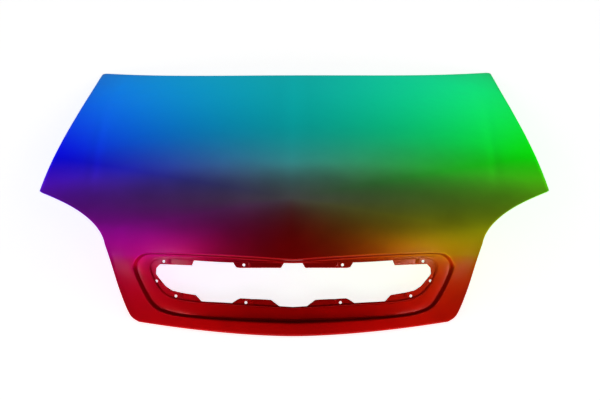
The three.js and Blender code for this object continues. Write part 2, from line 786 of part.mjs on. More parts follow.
function makeMastic(x, s, angle) {
  const low = -landDepth + masticGap;
  const high = -skinThickness - masticSkinGap;
  const floor = roundedLoop(x, s, masticLength, masticWidth - 3, angle, 10);
  const top = roundedLoop(x, s, masticLength - 4, masticWidth - 7, angle, 10);
  return bend(flatFromSolid(frustum(floor, top, low, high)), plateSag);
}

// Assembly

const bonnet = new THREE.Group();

function material(color, roughness, metalness) {
  return new THREE.MeshStandardMaterial({ color, roughness, metalness });
}

function addPiece(name, geometry, pieceMaterial) {
  const mesh = new THREE.Mesh(geometry, pieceMaterial);
  mesh.name = name;
  bonnet.add(mesh);
  return mesh;
}

addPiece('outer_skin', makeOuterSkin(), material(0x1f8a9c, 0.38, 0.35));
addPiece('inner_panel', makeInnerPanel(), material(0x5a4a6a, 0.5, 0.3));

const seatNames = ['hinge_left', 'hinge_right', 'latch'];
seats.forEach((seat, index) => {
  const name = seatNames[index];
  const hinge = index < 2;
  const thickness = hinge ? hingePlateThickness : latchPlateThickness;
  const size = hinge
    ? [2 * (frameHalfFloor - plateSideGap), hingeSeatLength + 2 * plateMargin]
    : [latchSeatWidth + 2 * latchPlateWing, latchSeatLength + 2 * plateMargin];
  addPiece(`${name}_reinforcement`, makePlate(seat, ...size, thickness), material(0x8a8f94, 0.45, 0.7));
  seat.bolts.forEach(([x, s], bolt) => {
    const nut = addPiece(`${name}_weld_nut_${bolt + 1}`, makeNut(), material(0x9aa0a5, 0.4, 0.85));
    nut.applyMatrix4(frameAt(x, s, seat.floor + 2 * plateGap + thickness));
  });
});

for (const [side, sideName] of [[-1, 'left'], [1, 'right']]) {
  masticPlaces.forEach(([x, s, angle], index) => {
    const geometry = makeMastic(side * x, s, side > 0 ? angle : Math.PI - angle);
    addPiece(`mastic_pad_${sideName}_${index + 1}`, geometry, material(0x3a3a3c, 0.9, 0));
  });
}

// The part stands on its lowest points, with its middle over the origin
const box = new THREE.Box3().setFromObject(bonnet);
const middle = box.getCenter(new THREE.Vector3());
bonnet.position.set(-middle.x, -middle.y, -box.min.z);

export default bonnet;
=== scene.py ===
from math import cos, exp, pi, radians, sin, sqrt

import bmesh
import bpy
from mathutils import Matrix, Vector
from mathutils.kdtree import KDTree


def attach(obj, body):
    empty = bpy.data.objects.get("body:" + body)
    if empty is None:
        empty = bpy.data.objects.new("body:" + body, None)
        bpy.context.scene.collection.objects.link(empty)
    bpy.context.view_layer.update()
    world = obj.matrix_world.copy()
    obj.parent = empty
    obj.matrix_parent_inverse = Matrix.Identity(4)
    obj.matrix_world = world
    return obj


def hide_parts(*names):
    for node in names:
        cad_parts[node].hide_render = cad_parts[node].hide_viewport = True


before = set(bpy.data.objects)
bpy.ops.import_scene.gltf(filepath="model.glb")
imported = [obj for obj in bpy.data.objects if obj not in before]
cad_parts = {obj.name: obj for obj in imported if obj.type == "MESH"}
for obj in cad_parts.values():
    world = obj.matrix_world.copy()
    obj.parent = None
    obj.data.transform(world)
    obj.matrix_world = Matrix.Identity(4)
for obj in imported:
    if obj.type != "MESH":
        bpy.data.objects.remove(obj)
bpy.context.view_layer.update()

# Outline of the bonnet, in metres: HALF is measured across from the middle, and ALONG forwards from the
# rear edge, along the middle line of the outer face
EAR_HALF, EAR_ALONG = 0.750, 0.599
REAR_HALF, REAR_SWEEP = 0.697, 0.200
NOSE_HALF, NOSE_ALONG = 0.535, 0.838
LIP_HALF, LIP_CORNER, LIP_ALONG = 0.432, 1.0595, 1.0965
STRAIGHT_ROW = 0.200

# Curvature of the outer face: slopes and turns in degrees, places along the middle line
REAR_SLOPE, TOP_TURN, FOLD_TURN, NOSE_TURN = -15.9, 8.0, 46.3, 6.0
FOLD_ALONG, FOLD_LENGTH, NOSE_TURN_LENGTH = 0.540, 0.330, 0.300
TOP_CROWN_RADIUS, NOSE_CROWN_RADIUS = 4.0, 2.63
CROWN_BLEND = (0.420, 0.860)
REAR_MIDDLE = Vector((0, 0.420459, 0.123))
MIDDLE_STEP, MIDDLE_LENGTH = 0.001, 1.2

# Grille recess and the fold of its wall
RECESS_HALF, RECESS_TOP, RECESS_BOTTOM = 0.450, 0.887, 1.060
RECESS_DEPTH, RECESS_FLANGE = 0.026, 0.003
UPPER_CORNER, SWAGE_LOWER_CORNER, EDGE_LOWER_CORNER = 0.41, 0.62, 0.64

# Thickness of the two sheets and the distance at which corners of a mesh are joined
SKIN, PANEL = 0.0008, 0.0007
MERGE = 1e-5


def clamp(value, low, high):
    return min(max(value, low), high)


def mix(a, b, t):
    return a + (b - a) * t


def smooth(t):
    t = clamp(t, 0, 1)
    return t * t * (3 - 2 * t)


def slope_at(s):
    turn = REAR_SLOPE + TOP_TURN * clamp(s / FOLD_ALONG, -1, 1)
    turn += FOLD_TURN * smooth((s - FOLD_ALONG) / FOLD_LENGTH)
    return radians(turn + NOSE_TURN * max(0, (s - FOLD_ALONG - FOLD_LENGTH) / NOSE_TURN_LENGTH))


def middle_line():
    """Steps forwards and downwards along the middle of the outer face."""
    points = [(0.0, 0.0)]
    for i in range(int(MIDDLE_LENGTH / MIDDLE_STEP)):
        slope = slope_at((i + 0.5) * MIDDLE_STEP)
        y, z = points[-1]
        points.append((y - MIDDLE_STEP * cos(slope), z - MIDDLE_STEP * sin(slope)))
    return points


MIDDLE_LINE = middle_line()


def middle_at(s):
    slope = slope_at(s)
    if s < 0:
        return -s * cos(slope), -s * sin(slope), slope
    i = min(int(s / MIDDLE_STEP), len(MIDDLE_LINE) - 2)
    part = s / MIDDLE_STEP - i
    (y0, z0), (y1, z1) = MIDDLE_LINE[i], MIDDLE_LINE[i + 1]
    return mix(y0, y1, part), mix(z0, z1, part), slope


def place(x, s, h):
    """Bend a flat spot, with its height over the outer face, to where it lies on the bonnet."""
    y, z, slope = middle_at(s)
    blend = smooth((s - CROWN_BLEND[0]) / (CROWN_BLEND[1] - CROWN_BLEND[0]))
    rise = h - x * x / 2 * mix(1 / TOP_CROWN_RADIUS, 1 / NOSE_CROWN_RADIUS, blend)
    return REAR_MIDDLE + Vector((x, y - sin(slope) * rise, z + cos(slope) * rise))


def spline(start, end, shares, count=400):
    """A smooth curve through shares of the way across and along between its ends."""
    knots = [Vector((mix(start[0], end[0], a), mix(start[1], end[1], b))) for a, b in shares]
    last = len(knots) - 1
    points = []
    for i in range(count + 1):
        reach = last * i / count
        k = min(int(reach), last - 1)
        t = reach - k
        before, here, after, far = (knots[clamp(k + d, 0, last)] for d in (-1, 0, 1, 2))
        pull, push = (after - before) / 2, (far - here) / 2
        points.append((2 * here - 2 * after + pull + push) * t ** 3
                      + (3 * after - 3 * here - 2 * pull - push) * t ** 2 + pull * t + here)
    return points


def bezier(a, b, c, d, count=400):
    a, b, c, d = (Vector(p) for p in (a, b, c, d))
    shares = [i / count for i in range(count + 1)]
    return [a * (1 - t) ** 3 + b * 3 * t * (1 - t) ** 2 + c * 3 * t * t * (1 - t) + d * t ** 3
            for t in shares]


def at_shares(curve, shares):
    """Points of a curve at the given shares of its length."""
    reach = [0.0]
    for a, b in zip(curve, curve[1:]):
        reach.append(reach[-1] + (b - a).length)
    points, k = [], 0
    for share in shares:
        target = share * reach[-1]
        while k < len(curve) - 2 and reach[k + 1] < target:
            k += 1
        part = (target - reach[k]) / (reach[k + 1] - reach[k])
        points.append(curve[k].lerp(curve[k + 1], clamp(part, 0, 1)))
    return points


SIDE_CURVE = spline((REAR_HALF, -REAR_SWEEP), (EAR_HALF, EAR_ALONG),
                    [(0, 0), (0.06, 0.21), (0.32, 0.45), (0.58, 0.65), (0.78, 0.82), (1, 1)])
EAR_CURVE = bezier((EAR_HALF, EAR_ALONG),
                   (mix(EAR_HALF, NOSE_HALF, 0.51), mix(EAR_ALONG, NOSE_ALONG, 0.38)),
                   (mix(EAR_HALF, NOSE_HALF, 0.94), mix(EAR_ALONG, NOSE_ALONG, 0.71)),
                   (NOSE_HALF, NOSE_ALONG))
NOSE_CURVE = spline((NOSE_HALF, NOSE_ALONG), (LIP_HALF, LIP_CORNER),
                    [(0, 0), (0.18, 0.23), (0.47, 0.62), (0.75, 0.91), (1, 1)])


def recess_loop(shares):
    """One half of a line round the recess, from its top to its bottom."""
    return spline((0, RECESS_TOP), (RECESS_HALF, RECESS_BOTTOM), shares, 900)


SWAGE_CURVE = recess_loop([
    (0, 0), (0.33, -0.06), (0.66, -0.105), (0.9, -0.12), (0.965, -0.07), (0.997, 0.05), (0.994, 0.17),
    (0.955, 0.4), (0.885, 0.7), (0.81, 0.83), (0.66, 0.91), (0.33, 0.97), (0, 1)])
RECESS_EDGE_CURVE = recess_loop([
    (0, 0.045), (0.4, 0.02), (0.74, -0.04), (0.84, -0.05), (0.89, -0.005), (0.909, 0.08), (0.895, 0.225),
    (0.853, 0.43), (0.78, 0.6), (0.64, 0.69), (0.4, 0.73), (0, 0.785)])


SWEEP_ROUND, SWEEP_LATE, LIP_POWER = 0.63, 0.37, 1.7


def rear_edge(x):
    return -REAR_SWEEP * (SWEEP_ROUND * (x / REAR_HALF) ** 2 + SWEEP_LATE * (x / REAR_HALF) ** 4)


def lip_edge(x):
    return mix(LIP_ALONG, LIP_CORNER, (abs(x) / LIP_HALF) ** LIP_POWER)


def edge_line(edge, half, count):
    return [Vector((half * i / count, edge(half * i / count))) for i in range(count + 1)]


def across_at(curve, s):
    """How far across a curve is at a place along the middle line."""
    for a, b in zip(curve, curve[1:]):
        if b.y >= s:
            return mix(a.x, b.x, clamp((s - a.y) / (b.y - a.y), 0, 1))
    return curve[-1].x


def outline_half(s):
    return across_at(SIDE_CURVE if s <= EAR_ALONG else EAR_CURVE, s)


def sheet_half(s):
    return outline_half(max(s, -REAR_SWEEP)) if s <= NOSE_ALONG else across_at(NOSE_CURVE, s)


# Sheet metal helpers: every sheet is laid out flat as (across, along, height) and then bent

MITRE_LIMIT = 0.6


def grid_sheet(bm, columns, rows, point):
    made = bmesh.ops.create_grid(bm, x_segments=columns, y_segments=rows, size=1)
    for vert in made["verts"]:
        vert.co = point(round((vert.co.x + 1) / 2 * columns), round((vert.co.y + 1) / 2 * rows))


def rounded_line(points, radii, steps):
    """A folded line whose inner corners are rounded off."""
    line = [points[0]]
    for before, corner, after, radius in zip(points, points[1:], points[2:], radii):
        start = corner + (before - corner).normalized() * radius
        end = corner + (after - corner).normalized() * radius
        for i in range(steps + 1):
            t = i / steps
            line.append(start * (1 - t) ** 2 + corner * 2 * t * (1 - t) + end * t * t)
    return line + [points[-1]]


def inward_ways(edges):
    """At each vertex of an open edge, the way in the flat that leads into the sheet."""
    ways = {}
    for edge in edges:
        a, b = edge.verts
        run = (b.co - a.co).normalized()
        way = Vector((-run.y, run.x, 0))
        if way.dot(edge.link_faces[0].calc_center_median() - a.co) < 0:
            way = -way
        ways.setdefault(a, []).append(way)
        ways.setdefault(b, []).append(way)
    result = {}
    for vert, found in ways.items():
        way = sum(found, Vector()).normalized()
        result[vert] = way / max(way.dot(found[0]), MITRE_LIMIT)
    return result


def fold_hem(bm, edges, profile):
    """Fold the open edge round a profile of (distance inwards, height) steps."""
    ways = inward_ways(edges)
    start = {vert: vert.co.copy() for vert in ways}
    for vert, way in ways.items():
        vert.co = start[vert] + way * profile[0][0]
    for inset, height in profile[1:]:
        made = bmesh.ops.extrude_edge_only(bm, edges=edges)["geom"]
        edges = [e for e in made if isinstance(e, bmesh.types.BMEdge) and len(e.link_faces) == 1]
        moved, origin = {}, {}
        for vert in {v for e in edges for v in e.verts}:
            source = next(e.other_vert(vert) for e in vert.link_edges if e.other_vert(vert) in ways)
            moved[vert], origin[vert] = ways[source], start[source]
        for vert, way in moved.items():
            vert.co = origin[vert] + way * inset + Vector((0, 0, height))
        ways, start = moved, origin


def mirror_half(bm):
    whole = bm.verts[:] + bm.edges[:] + bm.faces[:]
    bmesh.ops.mirror(bm, geom=whole, matrix=Matrix(), merge_dist=1e-6, axis="X")
    bmesh.ops.remove_doubles(bm, verts=bm.verts, dist=MERGE)
    bmesh.ops.recalc_face_normals(bm, faces=bm.faces)


def finish_sheet(name, bm, material, node, thickness):
    """Turn the sheet's faces upwards and give it its thickness below them."""
    bmesh.ops.recalc_face_normals(bm, faces=bm.faces)
    if sum(face.normal.z * face.calc_area() for face in bm.faces) < 0:
        bmesh.ops.reverse_faces(bm, faces=bm.faces)
    for face in bm.faces:
        face.smooth = True
    mesh = bpy.data.meshes.new(name)
    bm.to_mesh(mesh)
    bm.free()
    piece = bpy.data.objects.new(name, mesh)
    bpy.context.scene.collection.objects.link(piece)
    mesh.materials.append(material)
    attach(piece, "root")
    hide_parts(node)
    wall = piece.modifiers.new("sheet_thickness", "SOLIDIFY")
    wall.thickness = thickness
    wall.offset = -1


# Shader helpers

def add_node(tree, kind, values=None, **settings):
    """A shader node with its settings, and its inputs linked or filled in by name."""
    made = tree.nodes.new(kind)
    for name, value in settings.items():
        setattr(made, name, value)
    for name, value in (values or {}).items():
        socket = made.inputs[name]
        if isinstance(value, bpy.types.NodeSocket):
            tree.links.new(value, socket)
        else:
            socket.default_value = value
    return made


def compute(tree, operation, *values):
    made = add_node(tree, "ShaderNodeMath", operation=operation)
    for index, value in enumerate(values):
        if isinstance(value, bpy.types.NodeSocket):
            tree.links.new(value, made.inputs[index])
        else:
            made.inputs[index].default_value = value
    return made.outputs[0]


def spread(tree, value, low, high, new_low, new_high):
    """Map a value's range onto a new range, held at both ends."""
    made = add_node(tree, "ShaderNodeMapRange", {"Value": value})
    for name, number in (("From Min", low), ("From Max", high), ("To Min", new_low), ("To Max", new_high)):
        made.inputs[name].default_value = number
    return made.outputs["Result"]


def new_group(name, inputs, outputs):
    group = bpy.data.node_groups.new(name, "ShaderNodeTree")
    for label, kind, value in inputs:
        socket = group.interface.new_socket(label, in_out="INPUT", socket_type=kind)
        socket.default_value = value
    for label, kind in outputs:
        group.interface.new_socket(label, in_out="OUTPUT", socket_type=kind)
    return group, group.nodes.new("NodeGroupInput").outputs, group.nodes.new("NodeGroupOutput").inputs


FLOAT, COLOR = "NodeSocketFloat", "NodeSocketColor"
DISPLAY_GAMMA = 2.2

# Colour wheel of the paint: hue turns about one point of the nose, seen from the front and above
WHEEL_TILT = radians(45.3)
WHEEL_ACROSS, WHEEL_UP = -0.004, -0.0322
WHEEL_WIDENING = 0.3036
WHEEL_PALE_RADIUS = 0.125
WHEEL_FRONT_GAIN = 2.2
WHEEL_RED_FROM, WHEEL_RED_GAIN = 0.16, 4.0
WHEEL_MIDDLE_TONE, WHEEL_TONE_FROM, WHEEL_TONE_FULL = 0.75, 0.05, 0.6


def make_colour_wheel():
    group, given, result = new_group("colour_wheel", [("Value", FLOAT, 0.7)], [("Color", COLOR)])
    coordinate = add_node(group, "ShaderNodeTexCoord").outputs["Object"]
    axis = add_node(group, "ShaderNodeSeparateXYZ", {"Vector": coordinate}).outputs
    across = compute(group, "SUBTRACT", axis["X"], WHEEL_ACROSS)
    across = compute(group, "MULTIPLY", across, -WHEEL_WIDENING)
    up = compute(group, "MULTIPLY", axis["Y"], sin(WHEEL_TILT))
    up = compute(group, "MULTIPLY_ADD", axis["Z"], cos(WHEEL_TILT), up)
    up = compute(group, "SUBTRACT", up, WHEEL_UP)
    low = compute(group, "MAXIMUM", compute(group, "SUBTRACT", -WHEEL_RED_FROM, up), 0)
    angle = compute(group, "ARCTAN2", across, compute(group, "MULTIPLY_ADD", low, -WHEEL_RED_GAIN, up))
    hue = compute(group, "MULTIPLY_ADD", angle, 1 / (2 * pi), 0.5)
    reach = compute(group, "MAXIMUM", up, compute(group, "MULTIPLY", up, -WHEEL_FRONT_GAIN))
    reach_squared = compute(group, "MULTIPLY", reach, reach)
    radius = compute(group, "SQRT", compute(group, "MULTIPLY_ADD", across, across, reach_squared))
    fade = compute(group, "EXPONENT", compute(group, "MULTIPLY", radius, -1 / WHEEL_PALE_RADIUS))
    saturation = compute(group, "SUBTRACT", 1, fade)
    side = compute(group, "ABSOLUTE", axis["X"])
    side = spread(group, side, WHEEL_TONE_FROM, WHEEL_TONE_FULL, WHEEL_MIDDLE_TONE, 1)
    tone = compute(group, "MULTIPLY", given["Value"], side)
    # In HSV mode the sockets named Red, Green and Blue take hue, saturation and value
    mixed = add_node(group, "ShaderNodeCombineColor",
                     {"Red": hue, "Green": saturation, "Blue": tone}, mode="HSV").outputs["Color"]
    linear = add_node(group, "ShaderNodeGamma", {"Color": mixed, "Gamma": DISPLAY_GAMMA})
    group.links.new(linear.outputs["Color"], result["Color"])
    return group


def make_grain():
    group, given, result = new_group(
        "sprayed_grain",
        [("Scale", FLOAT, 900.0), ("Patch scale", FLOAT, 9.0)],
        [("Height", FLOAT), ("Patches", FLOAT)])
    coordinate = add_node(group, "ShaderNodeTexCoord").outputs["Object"]
    fine = add_node(group, "ShaderNodeTexNoise", {
        "Vector": coordinate, "Scale": given["Scale"], "Detail": 3.0, "Roughness": 0.6})
    patches = add_node(group, "ShaderNodeTexNoise", {
        "Vector": coordinate, "Scale": given["Patch scale"], "Detail": 5.0, "Roughness": 0.62})
    group.links.new(fine.outputs[0], result["Height"])
    group.links.new(patches.outputs[0], result["Patches"])
    return group


def new_material(name):
    material = bpy.data.materials.new(name)
    material.use_nodes = True
    tree = material.node_tree
    return material, tree, tree.nodes["Principled BSDF"].inputs


def group_node(tree, group, values=None):
    made = add_node(tree, "ShaderNodeGroup", node_tree=group)
    for name, value in (values or {}).items():
        made.inputs[name].default_value = value
    return made.outputs


def blend_colors(tree, share, first, second):
    made = add_node(tree, "ShaderNodeMix", data_type="RGBA")
    for index, value in ((0, share), (6, first), (7, second)):
        if isinstance(value, bpy.types.NodeSocket):
            tree.links.new(value, made.inputs[index])
        else:
            made.inputs[index].default_value = value
    return made.outputs[2]


def link_bump(tree, socket, height, strength, distance):
    bump = add_node(tree, "ShaderNodeBump", {"Height": height, "Strength": strength, "Distance": distance})
    tree.links.new(bump.outputs["Normal"], socket)


wheel = make_colour_wheel()
grain = make_grain()

# Share of the patches' range that changes a tone or a sheen, and what it does to the paint
PATCH_LOW, PATCH_HIGH = 0.3, 0.7
PAINT_SHADE, PAINT_SHEEN = (0.93, 1.03), (-0.02, 0.05)
COAT_FROM, COAT_FULL, COAT_ROUGHNESS = -0.22, -0.36, 0.12
PAINT_SPECULAR, PAINT_TINT, PAINT_BUMP = 0.05, (0.3, 0.3, 0.3, 1), 0.25


def make_paint(name, value, metallic, roughness, coat, grain_scale, grain_depth):
    """Sprayed satin coat in the colour wheel, a little uneven in tone and sheen, glossier at the nose."""
    material, tree, shader = new_material(name)
    colour = group_node(tree, wheel, {"Value": value})["Color"]
    texture = group_node(tree, grain, {"Scale": grain_scale})
    patches = texture["Patches"]
    shade = spread(tree, patches, PATCH_LOW, PATCH_HIGH, *PAINT_SHADE)
    toned = add_node(tree, "ShaderNodeVectorMath", {"Vector": colour}, operation="SCALE")
    tree.links.new(shade, toned.inputs["Scale"])
    tree.links.new(toned.outputs["Vector"], shader["Base Color"])
    smoothest, roughest = (roughness + change for change in PAINT_SHEEN)
    tree.links.new(spread(tree, patches, PATCH_LOW, PATCH_HIGH, smoothest, roughest), shader["Roughness"])
    shader["Metallic"].default_value = metallic
    coordinate = add_node(tree, "ShaderNodeTexCoord").outputs["Object"]
    ahead = add_node(tree, "ShaderNodeSeparateXYZ", {"Vector": coordinate}).outputs["Y"]
    tree.links.new(spread(tree, ahead, COAT_FROM, COAT_FULL, 0, coat), shader["Coat Weight"])
    shader["Coat Roughness"].default_value = COAT_ROUGHNESS
    shader["Specular IOR Level"].default_value = PAINT_SPECULAR
    shader["Specular Tint"].default_value = PAINT_TINT
    link_bump(tree, shader["Normal"], texture["Height"], PAINT_BUMP, grain_depth)
    return material


outer_paint = make_paint("outer_paint", value=0.98, metallic=0.88, roughness=0.31, coat=0.22,
                         grain_scale=700.0, grain_depth=0.00025)
inner_paint = make_paint("inner_paint", value=0.95, metallic=0.85, roughness=0.32, coat=0.3,
                         grain_scale=500.0, grain_depth=0.0003)

CRYSTAL_LIGHT, CRYSTAL_DARK = 1.18, 0.78
BLOOM_COLOUR, BLOOM_FROM, BLOOM_FULL, BLOOM_SHARE = (0.62, 0.63, 0.62, 1), 0.52, 0.72, 0.5
STEEL_SHEEN, STEEL_SHEEN_HIGH = (-0.06, 0.16), 0.75
STEEL_METALLIC, STEEL_BUMP, STEEL_BUMP_DEPTH = 0.9, 0.3, 0.0002
MASTIC_DARK, MASTIC_LIGHT = (0.018, 0.018, 0.02, 1), (0.06, 0.058, 0.055, 1)
MASTIC_ROUGHNESS, MASTIC_BUMP, MASTIC_BUMP_DEPTH = (0.62, 0.82), 0.6, 0.0012


def make_steel(name, colour, roughness, scale):
    """Zinc coated steel: soft crystal patches and a little white bloom."""
    material, tree, shader = new_material(name)
    coordinate = add_node(tree, "ShaderNodeTexCoord").outputs["Object"]
    crystals = add_node(tree, "ShaderNodeTexVoronoi", {"Vector": coordinate, "Scale": scale})
    tone = add_node(tree, "ShaderNodeSeparateColor", {"Color": crystals.outputs["Color"]}).outputs["Red"]
    texture = group_node(tree, grain, {"Scale": 1200.0, "Patch scale": 40.0})
    patches = texture["Patches"]
    light = [c * CRYSTAL_LIGHT for c in colour] + [1]
    dark = [c * CRYSTAL_DARK for c in colour] + [1]
    crystal = blend_colors(tree, tone, dark, light)
    bloom = spread(tree, patches, BLOOM_FROM, BLOOM_FULL, 0, BLOOM_SHARE)
    tree.links.new(blend_colors(tree, bloom, crystal, BLOOM_COLOUR), shader["Base Color"])
    smoothest, roughest = (roughness + change for change in STEEL_SHEEN)
    tree.links.new(spread(tree, patches, PATCH_LOW, STEEL_SHEEN_HIGH, smoothest, roughest),
                   shader["Roughness"])
    shader["Metallic"].default_value = STEEL_METALLIC
    link_bump(tree, shader["Normal"], texture["Height"], STEEL_BUMP, STEEL_BUMP_DEPTH)
    return material


def make_mastic():
    material, tree, shader = new_material("mastic")
    texture = group_node(tree, grain, {"Scale": 260.0, "Patch scale": 60.0})
    patches = texture["Patches"]
    tree.links.new(blend_colors(tree, patches, MASTIC_DARK, MASTIC_LIGHT), shader["Base Color"])
    tree.links.new(spread(tree, patches, PATCH_LOW, PATCH_HIGH, *MASTIC_ROUGHNESS), shader["Roughness"])
    link_bump(tree, shader["Normal"], texture["Height"], MASTIC_BUMP, MASTIC_BUMP_DEPTH)
    return material


reinforcement_steel = make_steel("reinforcement_steel", (0.42, 0.43, 0.44), roughness=0.38, scale=220.0)
nut_steel = make_steel("nut_steel", (0.50, 0.48, 0.42), roughness=0.32, scale=500.0)
mastic = make_mastic()

# Outer skin: numbers of cells, then the rounded rear corners, the side creases, the recess wall and the hem

SKIN_COLUMNS, SKIN_ROWS, NOSE_SIDE, LIP_STATIONS, NOSE_CELLS = 60, 116, 40, 46, 7
CORNER_RADIUS = 0.018
CREASE = [(0.637, 0.031), (0.615, 0.287), (0.602, 0.476), (0.589, 0.604)]
CREASE_HALF, CREASE_DEPTH, CREASE_END, CREASE_FADE = 0.012, 0.0016, 0.66, 0.12
WALL_RUN, WALL_SHARE = 0.0055, 0.7
FOLD_RADIUS, FOLD_SHARE, FLANGE_SHARE, FOLD_STEPS = 0.004, 0.4, 0.3, 5
HEM_DEPTH, HEM_WIDTH = 0.0031, 0.009
HEM_TUCK, HEM_EASE = 0.35 * SKIN, 0.25 * SKIN


def crease(x, s):
    """Soft feature line along each side of the top."""
    if not 0 < s < CREASE_END:
        return 0
    parts = list(zip(CREASE, CREASE[1:]))
    (xa, sa), (xb, sb) = next((part for part in parts if s <= part[1][1]), parts[-1])
    centre = mix(xa, xb, (s - sa) / (sb - sa))
    fade = smooth(s / CREASE_FADE) * smooth((CREASE_END - s) / CREASE_FADE)
    return -CREASE_DEPTH * fade * exp(-((abs(x) - centre) / CREASE_HALF) ** 2)


def main_point(i, j):
    """A corner of the grid behind the nose, with the rear corner rounded."""
    side = mix(-REAR_SWEEP, NOSE_ALONG, j / SKIN_ROWS)
    half = outline_half(side)
    x = half * i / SKIN_COLUMNS
    share = (side + REAR_SWEEP) / (STRAIGHT_ROW + REAR_SWEEP)
    s = mix(rear_edge(x), STRAIGHT_ROW, share) if share < 1 else side
    p = 1 - (half - x) / CORNER_RADIUS
    q = 1 - (s - rear_edge(x)) / CORNER_RADIUS
    if p > 0 and q > 0:
        x = half - CORNER_RADIUS * (1 - p * sqrt(1 - q * q / 2))
        s = rear_edge(x) + CORNER_RADIUS * (1 - q * sqrt(1 - p * p / 2))
    return Vector((x, s, 0))


def nose_stations():
    """Sections from the outline to the recess, from the middle of the top round to the lip."""
    across = [i / SKIN_COLUMNS for i in range(SKIN_COLUMNS + 1)]
    side = [i / NOSE_SIDE for i in range(1, NOSE_SIDE + 1)]
    lip = [i / LIP_STATIONS for i in range(1, LIP_STATIONS + 1)]
    outer = [Vector((NOSE_HALF * share, NOSE_ALONG)) for share in across]
    outer += at_shares(NOSE_CURVE, side)
    outer += [Vector((LIP_HALF * (1 - share), lip_edge(LIP_HALF * (1 - share)))) for share in lip]

    def shares(lower):
        return ([UPPER_CORNER * t for t in across] + [mix(UPPER_CORNER, lower, t) for t in side]
                + [mix(lower, 1, t) for t in lip])

    swage = at_shares(SWAGE_CURVE, shares(SWAGE_LOWER_CORNER))
    edge = at_shares(RECESS_EDGE_CURVE, shares(EDGE_LOWER_CORNER))
    return [nose_section(*station) for station in zip(outer, swage, edge)]


def nose_section(outer, swage, edge):
    """From the outline over the swage line, down the recess wall and onto its flat flange."""
    way = edge - swage
    width = way.length
    way = way.normalized()
    foot = width - RECESS_FLANGE

    def point(reach, height):
        spot = swage + way * reach
        return Vector((spot.x, spot.y, height))

    start = Vector((outer.x, outer.y, 0))
    corner = point(0, 0)
    flat = [start.lerp(corner, i / NOSE_CELLS) for i in range(NOSE_CELLS)]
    run = min(WALL_RUN, WALL_SHARE * foot)
    ledge = foot - run
    radii = [min(FOLD_RADIUS, FOLD_SHARE * (corner - flat[-1]).length),
             min(FOLD_RADIUS, FOLD_SHARE * ledge), FLANGE_SHARE * ledge]
    below = [point(reach, -RECESS_DEPTH) for reach in (run, foot, width)]
    return flat[:-1] + rounded_line([flat[-1], corner] + below, radii, FOLD_STEPS)


def make_outer_skin():
    bm = bmesh.new()
    grid_sheet(bm, SKIN_COLUMNS, SKIN_ROWS, main_point)
    sections = nose_stations()
    grid_sheet(bm, len(sections) - 1, len(sections[0]) - 1, lambda k, r: sections[k][r])
    bmesh.ops.remove_doubles(bm, verts=bm.verts, dist=MERGE)
    mirror_half(bm)
    # The open edges at the top level are the outline; those of the recess lie below it
    outline = [e for e in bm.edges if len(e.link_faces) == 1 and max(v.co.z for v in e.verts) > -SKIN]
    fold_hem(bm, outline, [
        (SKIN, 0), (HEM_TUCK, -HEM_EASE), (0, -SKIN), (0, SKIN - HEM_DEPTH),
        (HEM_TUCK, HEM_EASE - HEM_DEPTH), (SKIN, -HEM_DEPTH), (HEM_WIDTH, -HEM_DEPTH)])
    for vert in bm.verts:
        x, s, h = vert.co
        vert.co = place(x, s, h + crease(x, s))
    finish_sheet("outer_skin_sheet", bm, outer_paint, "outer_skin", SKIN)


make_outer_skin()

# Inner panel: a channel all round, two diagonal ribs, a cross rib and the basin of the nose.
# FLOOR and TOP are half widths of a channel at its floor and where it meets the land beside it.

RIM_LEVEL, LAND_LEVEL, CHANNEL_LEVEL, BASIN_LEVEL = -0.0012, -0.004, -0.024, -0.0278
FRAME_INSET, FRAME_FLOOR, FRAME_TOP = 0.052, 0.016, 0.026
RIB_FLOOR, RIB_TOP = 0.013, 0.022
LAND_WIDTH, PRESS_RADIUS = 0.013, 0.002
BASIN_REAR, BASIN_INSET, BASIN_DRAFT, LIP_DRAFT, BASIN_RIM = 0.772, 0.014, 0.008, 0.020, 0.018
RIM_GAP = 0.0004
SEAT_DROP, HINGE_SEAT_HALVES, LATCH_SEAT_HALVES = 0.002, (0.013, 0.045), (0.033, 0.020)
DRAIN_WIDTH, DRAIN_LENGTH, RIB_DRAIN_LENGTH = 0.018, 0.044, 0.040
RIB_DRAINS, SIDE_DRAINS, REAR_DRAIN, CROSS_DRAIN = (0.25, 0.72), (0.2, 0.42), 0.250, 0.45
CLIP_HOLE, BOLT_HOLE = 0.008, 0.0085
HINGE_BOLT_OFFSET, LATCH_BOLT_OFFSET = 0.028, 0.022
BEAD_HALF, BEAD_HEIGHT, BEAD_AWAY, BEAD_REACH = 0.0035, 0.0018, 0.016, 0.006

# Mesh of the inner panel: the grid that it is cut from, and how fine it is beside the holes
PANEL_CELL, PANEL_WIDTH, PANEL_LENGTH, PANEL_START = 0.010, 0.76, 1.32, -0.21
HOLE_REACH, FINE_SHARE, SLIVER = 0.007, 0.3, 0.0007
REAR_STEPS, LIP_STEPS, NOSE_OVERLAP = 400, 300, 0.004
LEVEL_SHARES = (0, 0.2, 0.5, 0.8, 1)
CUT_REACH, OUTLINE_CUT_REACH = 0.0003, 0.0001

# Middle lines of the ribs: the diagonal ones from the rear channel to the basin, the cross rib between them
RIB_REAR_ACROSS, RIB_FRONT_ACROSS = 0.560, 0.150
CROSS_ALONG, CROSS_PAST_MIDDLE = 0.330, 0.05
RIB_REAR = Vector((RIB_REAR_ACROSS, rear_edge(RIB_REAR_ACROSS) + FRAME_INSET))
RIB_FRONT = Vector((RIB_FRONT_ACROSS, BASIN_REAR + RIB_TOP))
CROSS_END = RIB_REAR.lerp(RIB_FRONT, (CROSS_ALONG - RIB_REAR.y) / (RIB_FRONT.y - RIB_REAR.y))

